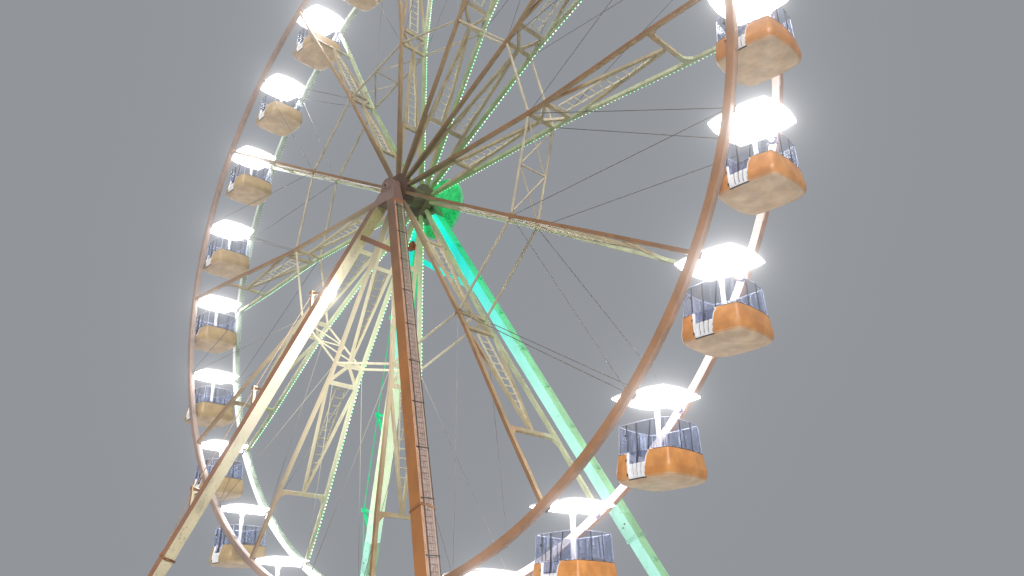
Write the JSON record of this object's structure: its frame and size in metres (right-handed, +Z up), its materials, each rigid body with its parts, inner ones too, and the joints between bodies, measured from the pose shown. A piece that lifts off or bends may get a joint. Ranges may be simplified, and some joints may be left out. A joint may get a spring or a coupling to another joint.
{
  "type": "ferris wheel",
  "caption": "Tall fairground ferris wheel: two rings on lattice spokes, level gondolas hung between them, leaning A-frame legs, base frame and boarding deck.",
  "frame": {"origin": "on the ground straight below the hub, at the middle of the middle cross beam's flat underside", "axes": "+Z up, +Y along the axle towards the rear, +X to the right when the front is seen"},
  "size_m": [29.8136, 12.2127, 31.4479],
  "materials": {
    "wheel_paint": "semi-gloss off-white paint with grime and dulled edges",
    "leg_paint": "semi-gloss off-white paint on welded box beams",
    "base_paint": "worn off-white paint",
    "gondola_shell": "glossy cream glass-fibre shell",
    "hub_steel": "dark greasy paint",
    "disc_panel": "green panel with small lamps",
    "deck_plate": "chequer plate",
    "galvanised": "dull galvanised",
    "white_paint": "gloss white",
    "lit_roof": "white moulded ceiling lit from inside",
    "clear_screen": "clear rolled plastic sheet",
    "lamp_lens": "small frosted lamp",
    "led_panel": "dark tiles with small lamps",
    "green_wash": "off-white paint under green light",
    "dark_rubber": "matt",
    "bolt_steel": "zinc plated",
    "red_box": "matt red paint",
    "cable_steel": "dull drawn wire"
  },
  "bodies": {
    "supports": {"front_head": "leg_paint", "rear_head": "leg_paint", "front_left_leg": "leg_paint", "front_right_leg": "leg_paint", "rear_left_leg": "leg_paint", "rear_right_leg": "leg_paint", "front_leg_tie": "leg_paint", "rear_leg_tie": "leg_paint", "light_disc": "disc_panel", "front_base_beam": "base_paint", "rear_base_beam": "base_paint", "left_cross_beam": "base_paint", "middle_cross_beam": "base_paint", "right_cross_beam": "base_paint", "deck": "deck_plate", "steps": "deck_plate", "rear_railing": "galvanised", "front_left_railing": "galvanised", "front_right_railing": "galvanised"},
    "wheel": {"hub": "hub_steel", "front_ring": "wheel_paint", "rear_ring": "wheel_paint", "spoke_01": "wheel_paint", "spoke_02": "wheel_paint", "spoke_03": "wheel_paint", "spoke_04": "wheel_paint", "spoke_05": "wheel_paint", "spoke_06": "wheel_paint", "spoke_07": "wheel_paint", "spoke_08": "wheel_paint", "spoke_09": "wheel_paint", "spoke_10": "wheel_paint", "spoke_11": "wheel_paint", "spoke_12": "wheel_paint"},
    "gondola_01": {"gondola_01": "gondola_shell"},
    "gondola_02": {"gondola_02": "gondola_shell"},
    "gondola_03": {"gondola_03": "gondola_shell"},
    "gondola_04": {"gondola_04": "gondola_shell"},
    "gondola_05": {"gondola_05": "gondola_shell"},
    "gondola_06": {"gondola_06": "gondola_shell"},
    "gondola_07": {"gondola_07": "gondola_shell"},
    "gondola_08": {"gondola_08": "gondola_shell"},
    "gondola_09": {"gondola_09": "gondola_shell"},
    "gondola_10": {"gondola_10": "gondola_shell"},
    "gondola_11": {"gondola_11": "gondola_shell"},
    "gondola_12": {"gondola_12": "gondola_shell"},
    "gondola_13": {"gondola_13": "gondola_shell"},
    "gondola_14": {"gondola_14": "gondola_shell"},
    "gondola_15": {"gondola_15": "gondola_shell"},
    "gondola_16": {"gondola_16": "gondola_shell"},
    "gondola_17": {"gondola_17": "gondola_shell"},
    "gondola_18": {"gondola_18": "gondola_shell"},
    "gondola_19": {"gondola_19": "gondola_shell"},
    "gondola_20": {"gondola_20": "gondola_shell"},
    "gondola_21": {"gondola_21": "gondola_shell"},
    "gondola_22": {"gondola_22": "gondola_shell"},
    "gondola_23": {"gondola_23": "gondola_shell"},
    "gondola_24": {"gondola_24": "gondola_shell"}
  },
  "joints": [
    {"name": "wheel_spin", "type": "hinge", "parent": "supports", "child": "wheel", "pos_m": [0, 0, 17.2], "axis": [0, 1, 0], "continuous": true},
    {"name": "gondola_01_pivot", "type": "hinge", "parent": "wheel", "child": "gondola_01", "pos_m": [13.99787, 0, 17.44433], "axis": [0, 1, 0], "continuous": true},
    {"name": "gondola_02_pivot", "type": "hinge", "parent": "wheel", "child": "gondola_02", "pos_m": [13.45766, 0, 21.05892], "axis": [0, 1, 0], "continuous": true},
    {"name": "gondola_03_pivot", "type": "hinge", "parent": "wheel", "child": "gondola_03", "pos_m": [12.00034, 0, 24.41053], "axis": [0, 1, 0], "continuous": true},
    {"name": "gondola_04_pivot", "type": "hinge", "parent": "wheel", "child": "gondola_04", "pos_m": [9.72522, 0, 27.27076], "axis": [0, 1, 0], "continuous": true},
    {"name": "gondola_05_pivot", "type": "hinge", "parent": "wheel", "child": "gondola_05", "pos_m": [6.78733, 0, 29.44468], "axis": [0, 1, 0], "continuous": true},
    {"name": "gondola_06_pivot", "type": "hinge", "parent": "wheel", "child": "gondola_06", "pos_m": [3.38691, 0, 30.78414], "axis": [0, 1, 0], "continuous": true},
    {"name": "gondola_07_pivot", "type": "hinge", "parent": "wheel", "child": "gondola_07", "pos_m": [-0.24433, 0, 31.19787], "axis": [0, 1, 0], "continuous": true},
    {"name": "gondola_08_pivot", "type": "hinge", "parent": "wheel", "child": "gondola_08", "pos_m": [-3.85892, 0, 30.65766], "axis": [0, 1, 0], "continuous": true},
    {"name": "gondola_09_pivot", "type": "hinge", "parent": "wheel", "child": "gondola_09", "pos_m": [-7.21053, 0, 29.20034], "axis": [0, 1, 0], "continuous": true},
    {"name": "gondola_10_pivot", "type": "hinge", "parent": "wheel", "child": "gondola_10", "pos_m": [-10.07076, 0, 26.92522], "axis": [0, 1, 0], "continuous": true},
    {"name": "gondola_11_pivot", "type": "hinge", "parent": "wheel", "child": "gondola_11", "pos_m": [-12.24468, 0, 23.98734], "axis": [0, 1, 0], "continuous": true},
    {"name": "gondola_12_pivot", "type": "hinge", "parent": "wheel", "child": "gondola_12", "pos_m": [-13.58414, 0, 20.58691], "axis": [0, 1, 0], "continuous": true},
    {"name": "gondola_13_pivot", "type": "hinge", "parent": "wheel", "child": "gondola_13", "pos_m": [-13.99787, 0, 16.95567], "axis": [0, 1, 0], "continuous": true},
    {"name": "gondola_14_pivot", "type": "hinge", "parent": "wheel", "child": "gondola_14", "pos_m": [-13.45766, 0, 13.34108], "axis": [0, 1, 0], "continuous": true},
    {"name": "gondola_15_pivot", "type": "hinge", "parent": "wheel", "child": "gondola_15", "pos_m": [-12.00034, 0, 9.98947], "axis": [0, 1, 0], "continuous": true},
    {"name": "gondola_16_pivot", "type": "hinge", "parent": "wheel", "child": "gondola_16", "pos_m": [-9.72522, 0, 7.12924], "axis": [0, 1, 0], "continuous": true},
    {"name": "gondola_17_pivot", "type": "hinge", "parent": "wheel", "child": "gondola_17", "pos_m": [-6.78733, 0, 4.95532], "axis": [0, 1, 0], "continuous": true},
    {"name": "gondola_18_pivot", "type": "hinge", "parent": "wheel", "child": "gondola_18", "pos_m": [-3.38691, 0, 3.61586], "axis": [0, 1, 0], "continuous": true},
    {"name": "gondola_19_pivot", "type": "hinge", "parent": "wheel", "child": "gondola_19", "pos_m": [0.24433, 0, 3.20213], "axis": [0, 1, 0], "continuous": true},
    {"name": "gondola_20_pivot", "type": "hinge", "parent": "wheel", "child": "gondola_20", "pos_m": [3.85892, 0, 3.74234], "axis": [0, 1, 0], "continuous": true},
    {"name": "gondola_21_pivot", "type": "hinge", "parent": "wheel", "child": "gondola_21", "pos_m": [7.21053, 0, 5.19966], "axis": [0, 1, 0], "continuous": true},
    {"name": "gondola_22_pivot", "type": "hinge", "parent": "wheel", "child": "gondola_22", "pos_m": [10.07076, 0, 7.47478], "axis": [0, 1, 0], "continuous": true},
    {"name": "gondola_23_pivot", "type": "hinge", "parent": "wheel", "child": "gondola_23", "pos_m": [12.24468, 0, 10.41267], "axis": [0, 1, 0], "continuous": true},
    {"name": "gondola_24_pivot", "type": "hinge", "parent": "wheel", "child": "gondola_24", "pos_m": [13.58414, 0, 13.81309], "axis": [0, 1, 0], "continuous": true}
  ],
  "couplings": [
    {"joint": "gondola_01_pivot", "follows": "wheel_spin", "ratio": -1},
    {"joint": "gondola_02_pivot", "follows": "wheel_spin", "ratio": -1},
    {"joint": "gondola_03_pivot", "follows": "wheel_spin", "ratio": -1},
    {"joint": "gondola_04_pivot", "follows": "wheel_spin", "ratio": -1},
    {"joint": "gondola_05_pivot", "follows": "wheel_spin", "ratio": -1},
    {"joint": "gondola_06_pivot", "follows": "wheel_spin", "ratio": -1},
    {"joint": "gondola_07_pivot", "follows": "wheel_spin", "ratio": -1},
    {"joint": "gondola_08_pivot", "follows": "wheel_spin", "ratio": -1},
    {"joint": "gondola_09_pivot", "follows": "wheel_spin", "ratio": -1},
    {"joint": "gondola_10_pivot", "follows": "wheel_spin", "ratio": -1},
    {"joint": "gondola_11_pivot", "follows": "wheel_spin", "ratio": -1},
    {"joint": "gondola_12_pivot", "follows": "wheel_spin", "ratio": -1},
    {"joint": "gondola_13_pivot", "follows": "wheel_spin", "ratio": -1},
    {"joint": "gondola_14_pivot", "follows": "wheel_spin", "ratio": -1},
    {"joint": "gondola_15_pivot", "follows": "wheel_spin", "ratio": -1},
    {"joint": "gondola_16_pivot", "follows": "wheel_spin", "ratio": -1},
    {"joint": "gondola_17_pivot", "follows": "wheel_spin", "ratio": -1},
    {"joint": "gondola_18_pivot", "follows": "wheel_spin", "ratio": -1},
    {"joint": "gondola_19_pivot", "follows": "wheel_spin", "ratio": -1},
    {"joint": "gondola_20_pivot", "follows": "wheel_spin", "ratio": -1},
    {"joint": "gondola_21_pivot", "follows": "wheel_spin", "ratio": -1},
    {"joint": "gondola_22_pivot", "follows": "wheel_spin", "ratio": -1},
    {"joint": "gondola_23_pivot", "follows": "wheel_spin", "ratio": -1},
    {"joint": "gondola_24_pivot", "follows": "wheel_spin", "ratio": -1}
  ]
}
